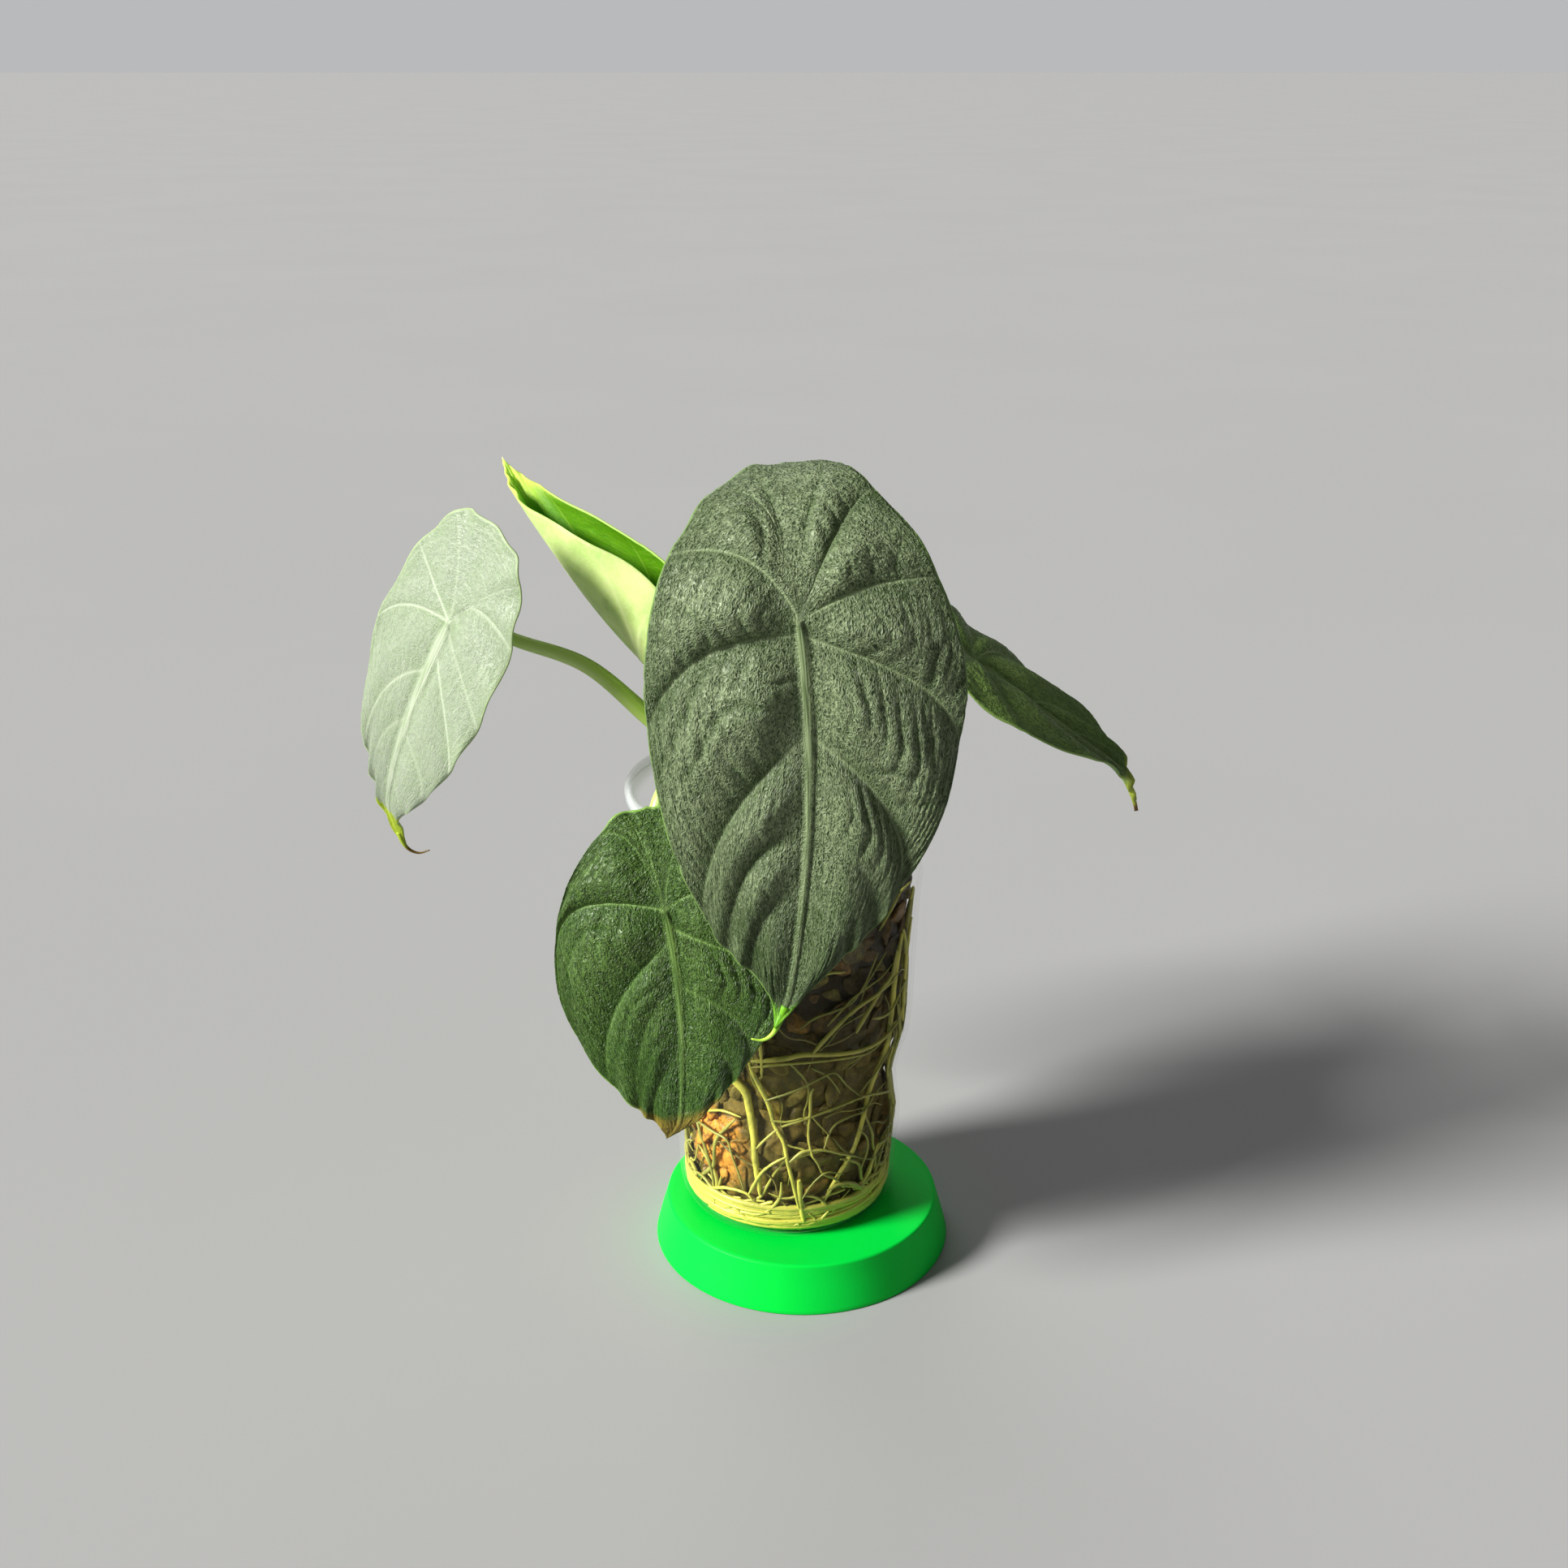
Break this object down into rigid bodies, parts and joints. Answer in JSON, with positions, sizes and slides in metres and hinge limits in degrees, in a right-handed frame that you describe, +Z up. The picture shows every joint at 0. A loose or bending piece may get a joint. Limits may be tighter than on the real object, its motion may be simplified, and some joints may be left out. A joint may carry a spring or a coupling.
{
  "type": "potted alocasia plant",
  "caption": "Alocasia with quilted shield-shaped leaves on arching petioles, growing in a clear cup of rooted chunky mix on a round tapered stand.",
  "frame": {"origin": "centre of the stand's flat bottom face", "axes": "+Z up; -Y is the front, the side the largest leaf faces; +X is to the right seen from the front"},
  "size_m": [0.2395, 0.1242, 0.2532],
  "materials": {
    "stand_plastic": "bright green smooth plastic, faintly satin",
    "clear_cup": "clear, slightly hazy thin plastic",
    "potting_mix": "damp dark bark and pumice mix",
    "roots": "pale yellow-green fleshy roots",
    "crown": "ringed pale green to brown stem base",
    "dark_leaf": "matt grey-green quilted leaf with a fine wrinkled net",
    "green_leaf": "satin mid-green quilted leaf",
    "silver_leaf": "pale silvery green leaf with whitish veins",
    "lime_leaf": "fresh lime-green unfurling leaf",
    "petiole": "smooth lime-green leaf stalk"
  },
  "bodies": {
    "root": {"stand": "stand_plastic", "cup": "clear_cup", "potting_mix": "potting_mix", "roots": "roots", "crown": "crown", "front_blade": "dark_leaf", "low_blade": "green_leaf", "left_blade": "silver_leaf", "right_blade": "green_leaf", "new_blade": "lime_leaf", "front_petiole": "petiole", "low_petiole": "petiole", "left_petiole": "petiole", "right_petiole": "petiole", "new_petiole": "petiole"}
  },
  "joints": []
}
